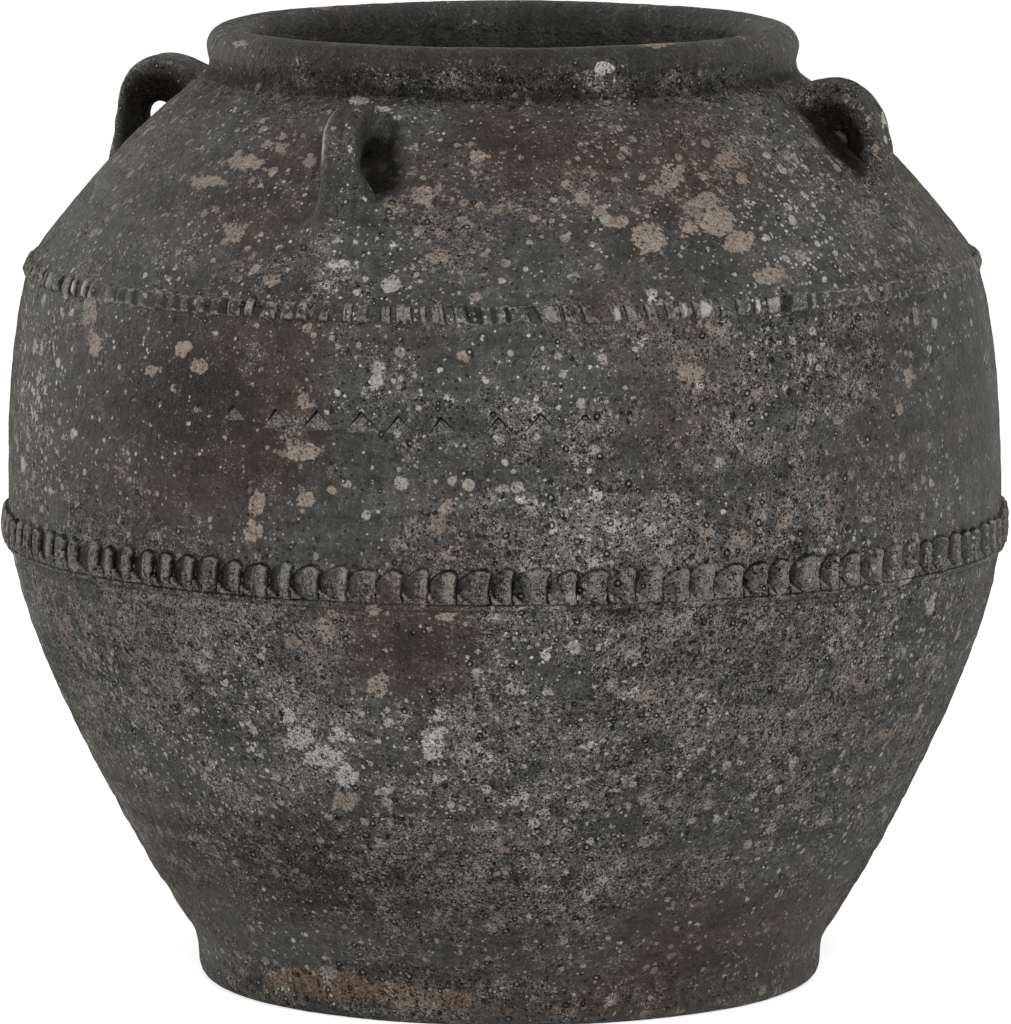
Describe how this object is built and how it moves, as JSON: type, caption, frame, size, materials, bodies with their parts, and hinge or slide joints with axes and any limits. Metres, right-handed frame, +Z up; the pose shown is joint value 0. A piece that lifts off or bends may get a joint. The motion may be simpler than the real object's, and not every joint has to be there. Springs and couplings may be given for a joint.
{
  "type": "vase",
  "caption": "Broad-shouldered round ceramic jar vase with a rolled rim, strap lugs on the shoulder and notched bands.",
  "frame": {"origin": "centre of the foot, on the surface that the jar stands on", "axes": "+Z up along the jar's axis; one strap lug points along each of +X, +Y, -X and -Y"},
  "size_m": [0.4038, 0.4038, 0.384],
  "materials": {
    "wall_clay": "unglazed dark fired clay, rough and matte, with worn pale and rust-coloured patches",
    "foot_clay": "unglazed dark fired clay, worn to brown at the edge",
    "rim_clay": "unglazed dark fired clay, smoother on the rolled lip",
    "band_clay": "unglazed dark fired clay, pressed and notched",
    "lug_clay": "unglazed dark fired clay, smoothed by hand"
  },
  "bodies": {
    "root": {"foot_slab": "foot_clay", "lower_wall": "wall_clay", "belly_wall": "wall_clay", "shoulder_wall": "wall_clay", "rim_collar": "rim_clay", "belly_band": "band_clay", "shoulder_band": "band_clay", "lug_front": "lug_clay", "lug_right": "lug_clay", "lug_back": "lug_clay", "lug_left": "lug_clay"}
  },
  "joints": []
}
